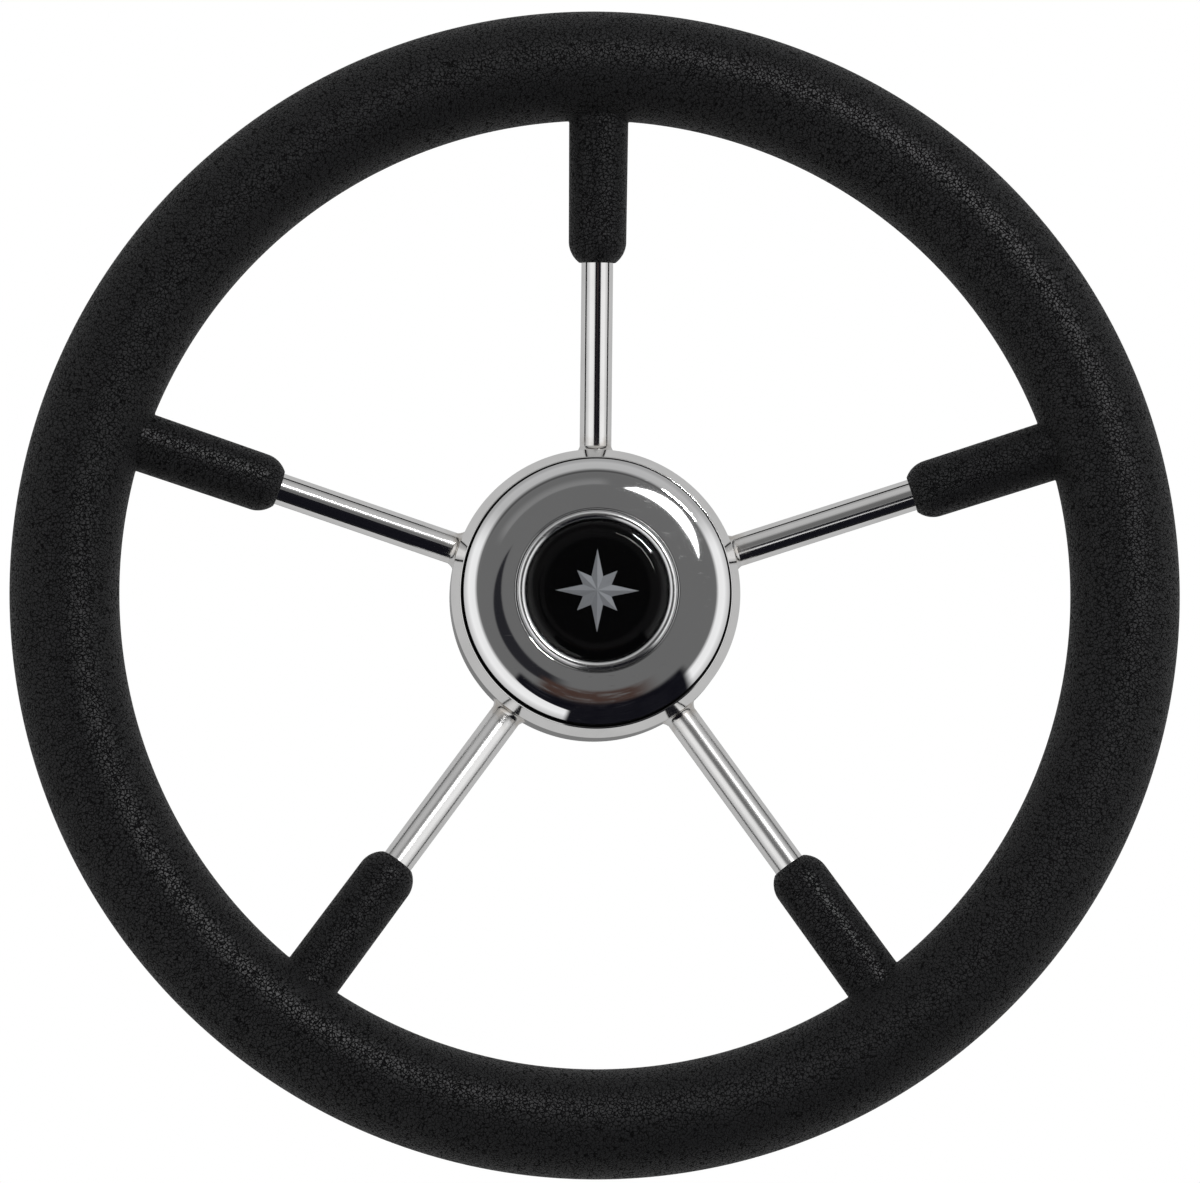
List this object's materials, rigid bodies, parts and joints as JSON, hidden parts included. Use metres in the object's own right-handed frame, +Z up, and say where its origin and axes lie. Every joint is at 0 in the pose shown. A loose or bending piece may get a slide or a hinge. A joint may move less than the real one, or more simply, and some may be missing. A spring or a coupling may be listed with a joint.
{
  "type": "boat steering wheel",
  "caption": "Round boat steering wheel with a black foam grip, slim polished round spokes, a drum-shaped hub and a domed chrome centre cap that pulls off over the shaft nut.",
  "frame": {"origin": "centre of the mouth of the tapered shaft bore, on the hub's rear face", "axes": "+Y is the spin axis and points from the hub's rear face to the helm, so the driver is on the -Y side; +Z is up, along the first spoke, and +X is right as the driver sees it"},
  "size_m": [0.35, 0.0684, 0.35],
  "materials": {
    "grip_foam": "pebbled matt black",
    "polished_steel": "mirror-polished stainless steel",
    "bar_steel": "drawn bar",
    "turned_steel": "turned",
    "cap_chrome": "bright chrome plate",
    "seal_rubber": "smooth",
    "badge_black": "gloss black",
    "badge_clear": "clear resin"
  },
  "bodies": {
    "wheel": {"grip": "grip_foam", "rim_ring": "bar_steel", "spoke_1": "polished_steel", "spoke_2": "polished_steel", "spoke_3": "polished_steel", "spoke_4": "polished_steel", "spoke_5": "polished_steel", "spoke_welds": "polished_steel", "hub_drum": "polished_steel", "hub_boss": "turned_steel", "boss_weld": "turned_steel"},
    "cap": {"hub_cap": "cap_chrome", "cap_seal": "seal_rubber", "badge_ring": "cap_chrome", "badge_plate": "badge_black", "badge_lens": "badge_clear"}
  },
  "joints": [
    {"name": "cap_pull", "type": "slide", "parent": "wheel", "child": "cap", "axis": [0, -1, 0], "range_m": [0, 0.05]}
  ]
}
